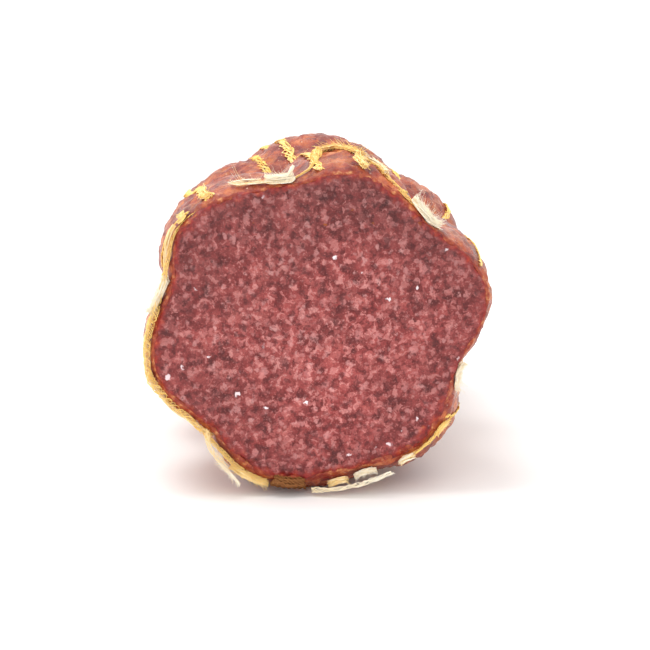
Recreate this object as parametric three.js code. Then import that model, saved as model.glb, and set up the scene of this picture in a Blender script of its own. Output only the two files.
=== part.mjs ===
// Half of a cured sausage that was dried in a net of yarn.
//
// Ground meat fills a thin casing. Six cords of the net run lengthwise and press grooves into the
// casing, so the section has six lobes. Hoops of yarn cross the cords and pinch the body at
// intervals, and thinner strands run along the lobes between them. The sausage is cut across at
// its first hoop, whose yarn was cut as well and hangs loose below, and its other end is gathered
// and tied.
//
// Millimetres, +Z up. The sausage lies along +Y on z = 0 with its cut face towards -Y. The group
// is moved so that its origin is the middle of its bounding box's bottom face.

import * as THREE from "three";
import { ParametricGeometry } from "three/addons/geometries/ParametricGeometry.js";

// ---------------------------------------------------------------------------------------------
// Driving dimensions
// ---------------------------------------------------------------------------------------------

const AXIS_HEIGHT = 38; // of the sausage's axis above the surface it lies on
const FIRST_HOOP = 2; // behind the cut face
const HOOP_PITCH = 42;
const BODY_HOOPS = 2; // whole hoops behind the first one
const DOME_LENGTH = 45; // rounded far end, from the middle of the last segment
const NECK_LENGTH = 10;
const NECK_RADIUS = 5;
const NECK_FOOT = 0.15; // how much of the neck the cords take to come down to it
const TAIL_LENGTH = 8;
const TAIL_RADIUS = 8.5;

const CASING_WALL = 0.6;
const FILLING_GAP = 0.6; // between the filling and the casing
const PRESS_SPREAD = 1.3; // how much deeper each layer lies where the body is pressed flat
const END_WALL = 4; // gathered casing between the filling and the neck

const CORD_WIDTH = 2.4;
const CORD_THICKNESS = 1.6;
const STRAND_WIDTH = 1.8;
const STRAND_THICKNESS = 0.9;
const HOOP_WIDTH = 2.2;
const HOOP_THICKNESS = 1.2;
const TIE_DIAMETER = 1.8;
const TIE_TURNS = 3;
const YARN_GAP = 0.4; // between a yarn and what it lies on
const CORD_GAP = 0.8; // a cord spans the crease of its groove

// Where each lobe and groove of the section lies, in degrees from +X towards +Z, and its distance
// from the axis at the cut face and in the full body behind it.
const SECTION = [
  { name: "right", kind: "groove", angle: -20, face: 30, body: 29.5 },
  { name: "right", kind: "lobe", angle: 12, face: 35.6, body: 38.1 },
  { name: "upper_right", kind: "groove", angle: 45.5, face: 30.8, body: 29.8 },
  { name: "top", kind: "lobe", angle: 79, face: 32.8, body: 37.6 },
  { name: "upper_left", kind: "groove", angle: 103.5, face: 31.2, body: 31.6 },
  { name: "upper_left", kind: "lobe", angle: 147, face: 37, body: 40.8 },
  { name: "left", kind: "groove", angle: 164, face: 34.3, body: 36 },
  { name: "left", kind: "lobe", angle: 194.5, face: 38, body: 41.8 },
  { name: "lower_left", kind: "groove", angle: 222, face: 33.5, body: 36 },
  { name: "bottom", kind: "lobe", angle: 243, face: 35.2, body: 41.3 },
  { name: "lower_right", kind: "groove", angle: 286, face: 32, body: 36.5 },
  { name: "lower_right", kind: "lobe", angle: 306.5, face: 32.5, body: 40 },
];
const GROOVE_SHAPE = { face: 2, body: 0.75 }; // 2 is as round as the lobes, less is a crease
const TWIST = 0.17; // degrees that the section turns for each millimetre along +Y
const HOOP_SEAT = HOOP_WIDTH / 2 + 0.4; // half of the even strip that a hoop lies on
const HOOP_RADIUS = 29; // what a hoop pulls the section towards
const HOOP_PULL = 0.8; // how far it gets, as a share
const ROUND_RADIUS = 38.5; // what a rounder segment's section is drawn towards
const SEGMENTS = [
  { girth: 1, roundness: 0 },
  { girth: 1.06, roundness: 0.5 },
  { girth: 1.03, roundness: 0.5 },
];
const BELLY_FULLNESS = 0.95; // the lower, the faster a segment swells next to its hoops
const CUT_FULLNESS = 0.6; // the same for the first half segment, which bulges from the cut

// Thin strands of the net on the lobes, at these section angles.
const STRANDS = [
  { name: "top", angle: 92 },
  { name: "upper_left", angle: 132 },
  { name: "left", angle: 196 },
  { name: "lower_right", angle: 322 },
  { name: "right", angle: 21 },
];

// Route of the first hoop, from its cut end in the right groove round to its knot at the bottom:
// section angle in degrees and distance behind the cut face.
const FIRST_HOOP_ROUTE = [
  [-26, 1.5],
  [-12, 2],
  [0, 2.4],
  [12, 2.4],
  [24, 2.2],
  [36, 1.8],
  [46, 1.6],
  [54, 1.8],
  [61, 2.4],
  [66, 4],
  [69, 6.4],
  [73, 8],
  [76, 11.5],
  [79, 15.5],
  [84, 17.5],
  [88.5, 16.5],
  [91, 11],
  [94, 5],
  [99, 3.4],
  [107, 2.6],
  [115, 2],
  [123, 2.2],
  [135, 2.4],
  [147, 2.2],
  [158, 1.8],
  [168, 1.6],
  [195, 1.6],
  [222, 1.6],
  [236, 1.6],
  [249, 1.6],
];
const KNOT_ANGLE = 257;
const KNOT_RADII = [4.2, 1.6, 0.7]; // half its length round the sausage, half its width, height
const KNOT_BACK = 1.6; // its centre behind the cut face

// The loose end of the first hoop, from the knot towards +X: x, y and z.
const HOOP_END_ROUTE = [
  [-3.2, 0.4, 1.5],
  [0.6, -0.8, 1.7],
  [5, -1.4, 2.5],
  [9.6, -1.6, 3.8],
  [14.2, -1.4, 5.6],
];
// The lower left cord was pulled out of its groove at the cut: x, y and z from its loose tip to
// where it meets the groove.
const LOOSE_CORD_ROUTE = [
  [-21.2, -1.4, 6.4],
  [-23.4, -2.0, 9.2],
  [-25.5, -1.9, 12.2],
  [-25.8, -0.6, 14.4],
];
const LOOSE_CORD_START = 2.5; // where that cord is back in its groove, behind the cut face

// Mesh resolution
const HALF_LOBE_STEPS = 5;
const CUT_ROWS = [0, 0.05, 0.12, 0.25, 0.5, 1]; // from the cut to the middle of its segment
const BELLY_ROWS = [0, 0.1, 0.3, 0.6, 1]; // from a hoop to the middle of a segment
const DOME_STEPS = 6;
const YARN_SIDES = 6;

// ---------------------------------------------------------------------------------------------
// The skin: the outside of the casing, and every layer at a depth below it
// ---------------------------------------------------------------------------------------------

const { clamp, degToRad, euclideanModulo, lerp } = THREE.MathUtils;
const DOME_START = FIRST_HOOP + HOOP_PITCH * (BODY_HOOPS + 0.5);
const DOME_END = DOME_START + DOME_LENGTH;

// Distance from the axis in one section, "face" or "body", on a sine from groove to lobe.
function sectionRadius(angle, section) {
  const first = SECTION[0].angle;
  const local = first + euclideanModulo(angle - first, 360);
  const next = SECTION.findIndex((corner) => corner.angle > local);
  const to = next > 0 ? SECTION[next] : { ...SECTION[0], angle: first + 360 };
  const from = next > 0 ? SECTION[next - 1] : SECTION[SECTION.length - 1];
  const share = (local - from.angle) / (to.angle - from.angle);
  const [groove, lobe] = from.kind === "groove" ? [from, to] : [to, from];
  const climb = Math.sin((Math.PI / 2) * (groove === from ? share : 1 - share));
  return lerp(groove[section], lobe[section], climb ** GROOVE_SHAPE[section]);
}

// Distance from the axis to the skin where the section has the given angle. The first hoop was
// cut, so the body is not pinched there: it swells straight from the cut face.
function skinRadius(sectionAngle, y) {
  const body = sectionRadius(sectionAngle, "body");
  const crest = FIRST_HOOP + HOOP_PITCH / 2;
  if (y < crest) {
    const swell = Math.sin((Math.PI / 2) * (y / crest)) ** CUT_FULLNESS;
    return lerp(sectionRadius(sectionAngle, "face"), body * SEGMENTS[0].girth, swell);
  }
  const along = Math.min((y - FIRST_HOOP) / HOOP_PITCH, BODY_HOOPS + 0.5);
  const { girth, roundness } = SEGMENTS[Math.min(SEGMENTS.length - 1, Math.floor(along))];
  const fromHoop = Math.abs(along - Math.round(along)) * HOOP_PITCH;
  const climb = clamp((fromHoop - HOOP_SEAT) / (HOOP_PITCH / 2 - HOOP_SEAT), 0, 1);
  const swell = Math.sin((Math.PI / 2) * climb) ** BELLY_FULLNESS;
  const full = lerp(body, ROUND_RADIUS, roundness) * girth;
  return lerp(lerp(body, HOOP_RADIUS, HOOP_PULL), full, swell);
}

// A row is a closed curve round the layer at distance y behind the cut. Its radius is share times
// the skin's, less the depth, plus round, which shapes the neck and the tail.
const bodyRow = (y) => ({ y, share: 1, round: 0 });

function bodyRows() {
  const distances = CUT_ROWS.map((share) => (FIRST_HOOP + HOOP_PITCH / 2) * share);
  for (let hoop = 1; hoop <= BODY_HOOPS; hoop++) {
    const y = FIRST_HOOP + hoop * HOOP_PITCH;
    const climb = HOOP_PITCH / 2 - HOOP_SEAT;
    for (const share of BELLY_ROWS)
      distances.push(y - HOOP_SEAT - climb * share, y + HOOP_SEAT + climb * share);
    distances.push(y);
  }
  return [...new Set(distances)].sort((a, b) => a - b).map(bodyRow);
}

// Rows from the body to the far end, which close on the axis, or on a neck of that radius.
function domeRows(length, neck = 0) {
  const rows = [];
  for (let i = 1; i <= DOME_STEPS; i++) {
    const lean = (Math.PI / 2) * (i / DOME_STEPS);
    const share = i < DOME_STEPS ? Math.cos(lean) : 0;
    const y = DOME_START + length * Math.sin(lean);
    rows.push({ y, share, round: neck * (1 - share), lean });
  }
  return rows;
}

function tailRows() {
  const start = DOME_END + NECK_LENGTH;
  const end = start + TAIL_LENGTH;
  return [
    { y: start, share: 0, round: NECK_RADIUS },
    { y: lerp(start, end, 0.6), share: 0, round: TAIL_RADIUS * 0.9 },
    { y: end, share: 0, round: TAIL_RADIUS },
    { y: end, share: 0, round: 0 },
  ];
}

// The angles round a row: whole steps between each groove and lobe, so that none is cut off.
const ROW_ANGLES = SECTION.flatMap((corner, i) => {
  const end = i + 1 < SECTION.length ? SECTION[i + 1].angle : SECTION[0].angle + 360;
  return Array.from({ length: HALF_LOBE_STEPS }, (_, step) =>
    lerp(corner.angle, end, step / HALF_LOBE_STEPS),
  );
});

// The body is pressed flat where it meets the surface it lies on, and its layers part there.
function layerPoint(sectionAngle, row, depth, target = new THREE.Vector3()) {
  const turn = degToRad(sectionAngle + TWIST * row.y);
  const radius = (skinRadius(sectionAngle, row.y) - depth) * row.share + row.round;
  const z = AXIS_HEIGHT + radius * Math.sin(turn);
  return target.set(radius * Math.cos(turn), row.y, Math.max(z, depth * PRESS_SPREAD));
}

// A closed solid through rows that begin and end on the axis, each with its depth under the skin.
function layeredSolid(rows) {
  const around = ROW_ANGLES.length;
  const surface = (u, v, target) => {
    const row = rows[Math.round(v * (rows.length - 1))];
    const angle = ROW_ANGLES[Math.round((1 - u) * around) % around];
    layerPoint(angle, row, row.depth, target);
  };
  return new ParametricGeometry(surface, around, rows.length - 1);
}

const atDepth = (rows, depth) => rows.map((row) => ({ ...row, depth }));

function fillingGeometry() {
  const face = [0, 0.5].map((share) => ({ y: 0, share, round: 0 }));
  const rows = [...face, ...bodyRows(), ...domeRows(DOME_LENGTH - END_WALL - FILLING_GAP)];
  return layeredSolid(atDepth(rows, CASING_WALL + FILLING_GAP));
}

function casingGeometry() {
  const outside = [...bodyRows(), ...domeRows(DOME_LENGTH, NECK_RADIUS), ...tailRows()];
  const inside = [...bodyRows(), ...domeRows(DOME_LENGTH - END_WALL)];
  return layeredSolid([...atDepth(inside, CASING_WALL).reverse(), ...atDepth(outside, 0)]);
}

// ---------------------------------------------------------------------------------------------
// Yarns
// ---------------------------------------------------------------------------------------------

// A flattened yarn along points, its thickness measured away from the sausage's axis.
function yarnGeometry(points, width, thickness, closed = false) {
  const last = points.length - 1;
  const rings = points.map((centre, i) => {
    const before = points[i > 0 ? i - 1 : closed ? last : 0];
    const after = points[i < last ? i + 1 : closed ? 0 : last];
    const tangent = after.clone().sub(before).normalize();
    const outward = new THREE.Vector3(centre.x, 0, centre.z - AXIS_HEIGHT);
    outward.addScaledVector(tangent, -outward.dot(tangent)).normalize();
    return { centre, outward, side: outward.clone().cross(tangent), share: 1 };
  });
  const ends = closed ? [...rings, rings[0]] : capped(rings);
  const surface = (u, v, target) => {
    const { centre, outward, side, share } = ends[Math.round(v * (ends.length - 1))];
    const turn = (2 * Math.PI * (Math.round(u * YARN_SIDES) % YARN_SIDES)) / YARN_SIDES;
    target.copy(centre);
    target.addScaledVector(side, (share * width * Math.cos(turn)) / 2);
    target.addScaledVector(outward, (share * thickness * Math.sin(turn)) / 2);
  };
  return new ParametricGeometry(surface, YARN_SIDES, ends.length - 1);
}

const capped = (rings) => [
  { ...rings[0], share: 0 },
  ...rings,
  { ...rings[rings.length - 1], share: 0 },
];

// A point at that height above the skin.
function overSkin(sectionAngle, row, height) {
  const turn = degToRad(sectionAngle + TWIST * row.y);
  const lean = row.lean ?? 0;
  const outward = new THREE.Vector3(
    Math.cos(turn) * Math.cos(lean),
    Math.sin(lean),
    Math.sin(turn) * Math.cos(lean),
  );
  return layerPoint(sectionAngle, row, 0).addScaledVector(outward, height);
}

// A yarn along the sausage from start behind the cut, over the dome and along the neck.
function lengthwisePoints(sectionAngle, height, rows) {
  const dome = domeRows(DOME_LENGTH, NECK_RADIUS).slice(0, -1);
  return [...bodyRows(), ...dome, ...rows]
    .map((row) => overSkin(sectionAngle, row, height));
}

// A cord runs on over the dome and along the neck.
function cordGeometry(sectionAngle, start = 0, before = []) {
  const neck = [NECK_FOOT, 1].map((part) => ({
    y: DOME_END + NECK_LENGTH * part,
    share: 0,
    round: NECK_RADIUS,
  }));
  const points = lengthwisePoints(sectionAngle, CORD_GAP + CORD_THICKNESS / 2, neck);
  const kept = points.filter(({ y }) => y >= start);
  return yarnGeometry([...before, ...kept], CORD_WIDTH, CORD_THICKNESS);
}

// A strand ends on the dome.
function strandGeometry(sectionAngle) {
  const points = lengthwisePoints(sectionAngle, YARN_GAP + STRAND_THICKNESS / 2, []);
  return yarnGeometry(points, STRAND_WIDTH, STRAND_THICKNESS);
}

// How much a hoop is lifted at an angle, to pass over the cords and strands.
const CROSSINGS = [
  ...SECTION.filter((corner) => corner.kind === "groove").map(({ angle }) => ({
    angle,
    lift: CORD_THICKNESS + CORD_GAP,
    reach: 14,
  })),
  ...STRANDS.map(({ angle }) => ({ angle, lift: STRAND_THICKNESS + YARN_GAP, reach: 11 })),
];

function hoopLift(sectionAngle) {
  const lifts = CROSSINGS.map(({ angle, lift, reach }) => {
    const away = euclideanModulo(sectionAngle - angle + 180, 360) - 180;
    return Math.abs(away) < reach ? lift * Math.cos((Math.PI / 2) * (away / reach)) : 0;
  });
  return Math.max(0, ...lifts);
}

function hoopPoint(sectionAngle, y) {
  const height = YARN_GAP + HOOP_THICKNESS / 2 + hoopLift(sectionAngle);
  return overSkin(sectionAngle, bodyRow(y), height);
}

function wholeHoopGeometry(y) {
  const angles = [...new Set([...ROW_ANGLES, ...STRANDS.map(({ angle }) => angle)])];
  angles.sort((a, b) => a - b);
  const points = angles.map((angle) => hoopPoint(angle, y));
  return yarnGeometry(points, HOOP_WIDTH, HOOP_THICKNESS, true);
}

function firstHoopGeometry() {
  const route = FIRST_HOOP_ROUTE.map(([angle, y]) => new THREE.Vector3(angle, y, 0));
  const path = new THREE.CatmullRomCurve3(route, false, "centripetal");
  const points = path.getSpacedPoints(80).map(({ x, y }) => hoopPoint(x, y));
  return yarnGeometry(points, HOOP_WIDTH, HOOP_THICKNESS);
}

const smoothRoute = (route, steps) =>
  new THREE.CatmullRomCurve3(
    route.map((point) => new THREE.Vector3(...point)),
    false,
    "centripetal",
  ).getSpacedPoints(steps);

// The tie: twine wound round the yarns on the neck.
function tieGeometry() {
  const stepsPerTurn = 20;
  const radius = NECK_RADIUS + CORD_GAP + CORD_THICKNESS + YARN_GAP + TIE_DIAMETER / 2;
  const pitch = TIE_DIAMETER + YARN_GAP;
  const start = DOME_END + NECK_LENGTH * NECK_FOOT + TIE_DIAMETER;
  const points = [];
  for (let i = 0; i <= TIE_TURNS * stepsPerTurn; i++) {
    const turn = (2 * Math.PI * i) / stepsPerTurn;
    const y = start + (pitch * i) / stepsPerTurn;
    const z = AXIS_HEIGHT + radius * Math.sin(turn);
    points.push(new THREE.Vector3(radius * Math.cos(turn), y, z));
  }
  return yarnGeometry(points, TIE_DIAMETER, TIE_DIAMETER);
}

// ---------------------------------------------------------------------------------------------
// Assembly
// ---------------------------------------------------------------------------------------------

const material = (color, roughness) =>
  new THREE.MeshStandardMaterial({ color, roughness, metalness: 0 });
const MEAT = material(0x9b4446, 0.45);
const SKIN = material(0xb5684f, 0.4);
const YARN = material(0xe8c873, 0.85);
const BARE_YARN = material(0xf6ecd0, 0.9);

const sausage = new THREE.Group();

function addPiece(name, geometry, finish) {
  const mesh = new THREE.Mesh(geometry, finish);
  mesh.name = name;
  sausage.add(mesh);
  return mesh;
}

addPiece("filling", fillingGeometry(), MEAT);
addPiece("casing", casingGeometry(), SKIN);

for (const { name, kind, angle } of SECTION) {
  if (kind !== "groove") continue;
  const loose = name === "lower_left";
  const start = loose ? LOOSE_CORD_START : 0;
  const before = loose ? smoothRoute(LOOSE_CORD_ROUTE, 8) : [];
  addPiece(`groove_cord_${name}`, cordGeometry(angle, start, before), YARN);
}

for (const { name, angle } of STRANDS)
  addPiece(`lobe_strand_${name}`, strandGeometry(angle), YARN);

addPiece("first_hoop", firstHoopGeometry(), YARN);
for (let i = 1; i <= BODY_HOOPS; i++)
  addPiece(`hoop_${i + 1}`, wholeHoopGeometry(FIRST_HOOP + i * HOOP_PITCH), YARN);

const knot = addPiece("hoop_knot", new THREE.SphereGeometry(1, 16, 10), YARN);
knot.scale.set(...KNOT_RADII);
knot.position.copy(overSkin(KNOT_ANGLE, bodyRow(KNOT_BACK), YARN_GAP + KNOT_RADII[2]));
knot.rotation.y = degToRad(270 - KNOT_ANGLE);

const hoopEnd = yarnGeometry(smoothRoute(HOOP_END_ROUTE, 14), HOOP_WIDTH, HOOP_THICKNESS);
addPiece("loose_hoop_end", hoopEnd, BARE_YARN);
addPiece("tail_tie", tieGeometry(), BARE_YARN);

// The origin goes to the middle of the bounding box's bottom face.
const box = new THREE.Box3().setFromObject(sausage, true);
const middle = box.getCenter(new THREE.Vector3());
sausage.position.set(-middle.x, -middle.y, -box.min.z);

const part = new THREE.Group();
part.add(sausage);
export default part;
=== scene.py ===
import math

import bpy
import numpy as np
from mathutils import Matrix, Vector


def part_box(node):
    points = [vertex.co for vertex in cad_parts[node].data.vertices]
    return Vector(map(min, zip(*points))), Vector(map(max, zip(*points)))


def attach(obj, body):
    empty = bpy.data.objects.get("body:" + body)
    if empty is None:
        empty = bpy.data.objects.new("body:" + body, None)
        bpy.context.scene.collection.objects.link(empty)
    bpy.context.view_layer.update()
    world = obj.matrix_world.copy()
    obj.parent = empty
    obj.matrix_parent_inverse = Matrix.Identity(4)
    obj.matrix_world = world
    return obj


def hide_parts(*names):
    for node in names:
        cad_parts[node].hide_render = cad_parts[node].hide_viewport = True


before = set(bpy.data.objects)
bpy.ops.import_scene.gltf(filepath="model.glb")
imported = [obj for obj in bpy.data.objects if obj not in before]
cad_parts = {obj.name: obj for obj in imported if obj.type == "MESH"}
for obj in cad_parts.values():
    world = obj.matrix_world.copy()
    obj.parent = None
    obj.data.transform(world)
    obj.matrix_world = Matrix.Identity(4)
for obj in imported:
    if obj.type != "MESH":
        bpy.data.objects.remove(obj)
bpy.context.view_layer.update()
rng = np.random.default_rng(7)
MM = 0.001

# --------------------------------------------------------------------------------------------
# The sausage's section: the same lobes, grooves, hoops and twist as the CAD model, in mm, with
# y behind the cut face and x and z from the axis
# --------------------------------------------------------------------------------------------

AXIS_HEIGHT = 38.0
FIRST_HOOP, HOOP_PITCH, BODY_HOOPS = 2.0, 42.0, 2
DOME_LENGTH, NECK_LENGTH, NECK_RADIUS = 45.0, 10.0, 5.0
TAIL_LENGTH, TAIL_RADIUS = 8.0, 8.5
DOME_START = FIRST_HOOP + HOOP_PITCH * (BODY_HOOPS + 0.5)
DOME_END = DOME_START + DOME_LENGTH
HOOP_SEAT, HOOP_RADIUS, HOOP_PULL = 1.5, 29.0, 0.8
TWIST, CUT_FULLNESS, BELLY_FULLNESS = 0.17, 0.6, 0.95
GIRTHS, ROUNDNESS, ROUND_RADIUS = np.array([1.0, 1.06, 1.03]), np.array([0, 0.5, 0.5]), 38.5
SECTION = np.array([  # angle, at the cut face, in the full body; grooves and lobes take turns
    (-20, 30, 29.5), (12, 35.6, 38.1), (45.5, 30.8, 29.8), (79, 32.8, 37.6),
    (103.5, 31.2, 31.6), (147, 37, 40.8), (164, 34.3, 36), (194.5, 38, 41.8),
    (222, 33.5, 36), (243, 35.2, 41.3), (286, 32, 36.5), (306.5, 32.5, 40)])
GROOVES = {"right": -20, "upper_right": 45.5, "upper_left": 103.5, "left": 164,
           "lower_left": 222, "lower_right": 286}
STRANDS = {"top": 92, "upper_left": 132, "left": 196, "lower_right": 322, "right": 21}


def section_radius(angle, column, shape):
    corners = np.vstack([SECTION, SECTION[0] + [360, 0, 0]])
    local = corners[0, 0] + (angle - corners[0, 0]) % 360
    i = np.clip(np.searchsorted(corners[:, 0], local, "right") - 1, 0, len(SECTION) - 1)
    share = (local - corners[i, 0]) / (corners[i + 1, 0] - corners[i, 0])
    from_groove = i % 2 == 0
    climb = np.sin(np.pi / 2 * np.where(from_groove, share, 1 - share)) ** shape
    low = np.where(from_groove, corners[i, column], corners[i + 1, column])
    high = np.where(from_groove, corners[i + 1, column], corners[i, column])
    return low + (high - low) * climb


def skin_radius(angle, y):
    angle, y = np.broadcast_arrays(np.asarray(angle, float), np.asarray(y, float))
    along = np.clip((y - FIRST_HOOP) / HOOP_PITCH, 0, BODY_HOOPS + 0.5)
    segment = np.minimum(len(GIRTHS) - 1, np.floor(along)).astype(int)
    from_hoop = np.abs(along - np.round(along)) * HOOP_PITCH
    climb = np.clip((from_hoop - HOOP_SEAT) / (HOOP_PITCH / 2 - HOOP_SEAT), 0, 1)
    body, face = section_radius(angle, 2, 0.75), section_radius(angle, 1, 2)
    full = (body + (ROUND_RADIUS - body) * ROUNDNESS[segment]) * GIRTHS[segment]
    pinched = body + (HOOP_RADIUS - body) * HOOP_PULL
    between = pinched + (full - pinched) * np.sin(np.pi / 2 * climb) ** BELLY_FULLNESS
    crest = FIRST_HOOP + HOOP_PITCH / 2
    from_cut = np.sin(np.pi / 2 * np.clip(y / crest, 0, 1)) ** CUT_FULLNESS
    return np.where(y < crest, face + (full - face) * from_cut, between)


# --------------------------------------------------------------------------------------------
# Smooth noise on numpy arrays of points
# --------------------------------------------------------------------------------------------

def _hash(ix, iy, iz, seed):
    n = (ix.astype(np.int64) * 73856093) ^ (iy.astype(np.int64) * 19349663)
    n = n ^ (iz.astype(np.int64) * 83492791) ^ (seed * 2654435761)
    n = (n ^ (n >> 13)) * 1274126177
    n = n ^ (n >> 16)
    return (n & 0xFFFFFF).astype(np.float64) / 0xFFFFFF * 2 - 1


def noise(p, size, seed=0):
    """Value noise from -1 to 1 whose features are about size across."""
    q = np.asarray(p, float) / size
    i = np.floor(q).astype(np.int64)
    f = q - i
    f = f * f * (3 - 2 * f)
    out = 0
    for dx in (0, 1):
        for dy in (0, 1):
            for dz in (0, 1):
                w = ((f[..., 0] if dx else 1 - f[..., 0]) * (f[..., 1] if dy else 1 - f[..., 1])
                     * (f[..., 2] if dz else 1 - f[..., 2]))
                out = out + w * _hash(i[..., 0] + dx, i[..., 1] + dy, i[..., 2] + dz, seed)
    return out


def fbm(p, size, octaves=3, seed=0):
    return sum(noise(p, size / 2 ** k, seed + 11 * k) / 2 ** k for k in range(octaves))


# --------------------------------------------------------------------------------------------
# Meshes
# --------------------------------------------------------------------------------------------

ROW_SHIFT = np.zeros(3)  # from these coordinates to the row's, set from the casing's box below


def make_mesh(name, verts, faces, mat, attributes=None, smooth=True):
    mesh = bpy.data.meshes.new(name)
    placed = np.asarray(verts) + ROW_SHIFT
    placed[:, 2] = np.maximum(placed[:, 2], 0.0)
    mesh.from_pydata((placed * MM).tolist(), [], faces)
    mesh.materials.append(mat)
    for key, values in (attributes or {}).items():
        layer = mesh.attributes.new(key, "FLOAT", "POINT")
        layer.data.foreach_set("value", np.asarray(values, np.float32).ravel())
    if smooth:
        mesh.polygons.foreach_set("use_smooth", [True] * len(mesh.polygons))
    mesh.update()
    piece = bpy.data.objects.new(name, mesh)
    bpy.context.scene.collection.objects.link(piece)
    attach(piece, "root")
    return piece


def grid_faces(rows, cols, offset=0):
    """Quads between rows of a surface that is closed round its columns."""
    i, j = np.meshgrid(np.arange(rows - 1), np.arange(cols), indexing="ij")
    a, b = i * cols + j, i * cols + (j + 1) % cols
    quads = np.stack([a, a + cols, b + cols, b], -1).reshape(-1, 4) + offset
    return quads.tolist()


def layer(angles, ys, shares, rounds, depth, bumps=None):
    """Points of the skin, or of a layer under it, on a grid of rows and section angles."""
    A, Y = np.meshgrid(angles, ys)
    S, R = np.asarray(shares)[:, None], np.asarray(rounds)[:, None]
    radius = (skin_radius(A, Y) - depth) * S + R
    turn = np.radians(A + TWIST * Y)
    P = np.stack([radius * np.cos(turn), Y, radius * np.sin(turn)], -1)
    if bumps is not None:
        out = np.stack([np.cos(turn), 0 * turn, np.sin(turn)], -1)
        P = P + out * bumps(P, A, Y)[..., None]
    P[..., 2] = np.maximum(P[..., 2] + AXIS_HEIGHT, depth)
    return P


# --------------------------------------------------------------------------------------------
# Materials
# --------------------------------------------------------------------------------------------

def srgb(code):
    c = [int(code[i:i + 2], 16) / 255 for i in (0, 2, 4)]
    return tuple(v / 12.92 if v <= 0.04045 else ((v + 0.055) / 1.055) ** 2.4 for v in c) + (1,)


class Nodes:
    def __init__(self, name, roughness=0.5, **sockets):
        self.mat = bpy.data.materials.new(name)
        self.mat.use_nodes = True
        self.tree = self.mat.node_tree
        self.shader = self.tree.nodes["Principled BSDF"]
        self.shader.inputs["Roughness"].default_value = roughness
        for key, value in sockets.items():
            self.shader.inputs[key.replace("_", " ")].default_value = value
        self.coords = self.tree.nodes.new("ShaderNodeTexCoord").outputs["Object"]

    def link(self, a, b):
        self.tree.links.new(a, b)

    def node(self, kind, settings=None, **inputs):
        n = self.tree.nodes.new("ShaderNode" + kind)
        for key, value in (settings or {}).items():
            setattr(n, key, value)
        for key, value in inputs.items():
            socket = n.inputs[int(key[1:]) if key[0] == "i" and key[1:].isdigit()
                              else key.replace("_", " ")]
            if isinstance(value, bpy.types.NodeSocket):
                self.link(value, socket)
            else:
                socket.default_value = value
        return n

    def noise(self, size_mm, detail=3.0, vector=None, rough=0.5, distortion=0.0):
        return self.node("TexNoise", Vector=vector or self.coords, Scale=1000 / size_mm,
                         Detail=detail, Roughness=rough, Distortion=distortion)

    def voronoi(self, size_mm, vector=None, feature="F1", **settings):
        return self.node("TexVoronoi", dict(feature=feature, **settings),
                         Vector=vector or self.coords, Scale=1000 / size_mm)

    def ramp(self, value, stops, mode="LINEAR"):
        n = self.node("ValToRGB", Fac=value)
        n.color_ramp.interpolation = mode
        while len(n.color_ramp.elements) < len(stops):
            n.color_ramp.elements.new(0.5)
        for element, (at, colour) in zip(n.color_ramp.elements, stops):
            element.position = at
            element.color = srgb(colour) if isinstance(colour, str) else (colour,) * 3 + (1,)
        return n.outputs["Color"]

    def mix(self, factor, a, b, blend="MIX"):
        n = self.tree.nodes.new("ShaderNodeMix")
        n.data_type, n.blend_type = "RGBA", blend
        for socket, value in ((n.inputs[0], factor), (n.inputs[6], a), (n.inputs[7], b)):
            if isinstance(value, bpy.types.NodeSocket):
                self.link(value, socket)
            elif isinstance(value, str):
                socket.default_value = srgb(value)
            else:
                socket.default_value = value
        return n.outputs[2]

    def maths(self, operation, a, b=0.0, c=0.0):
        n = self.tree.nodes.new("ShaderNodeMath")
        n.operation = operation
        for socket, value in zip(n.inputs, (a, b, c)):
            if isinstance(value, bpy.types.NodeSocket):
                self.link(value, socket)
            else:
                socket.default_value = value
        return n.outputs[0]

    def warped(self, size_mm, amount_mm, detail=2.0):
        """Object coordinates pushed about by noise."""
        n = self.noise(size_mm, detail)
        off = self.node("VectorMath", {"operation": "SUBTRACT"}, i0=n.outputs["Color"],
                        i1=(0.5, 0.5, 0.5))
        scaled = self.node("VectorMath", {"operation": "SCALE"}, i0=off.outputs[0],
                           Scale=2 * amount_mm * MM)
        return self.node("VectorMath", {"operation": "ADD"}, i0=self.coords,
                         i1=scaled.outputs[0]).outputs[0]

    def attribute(self, name):
        return self.node("Attribute", {"attribute_name": name}).outputs["Fac"]

    def bump(self, height, distance_mm, strength=1.0):
        n = self.node("Bump", Height=height, Distance=distance_mm * MM, Strength=strength)
        if self.shader.inputs["Normal"].is_linked:
            self.link(self.shader.inputs["Normal"].links[0].from_socket, n.inputs["Normal"])
        self.link(n.outputs[0], self.shader.inputs["Normal"])


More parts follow.
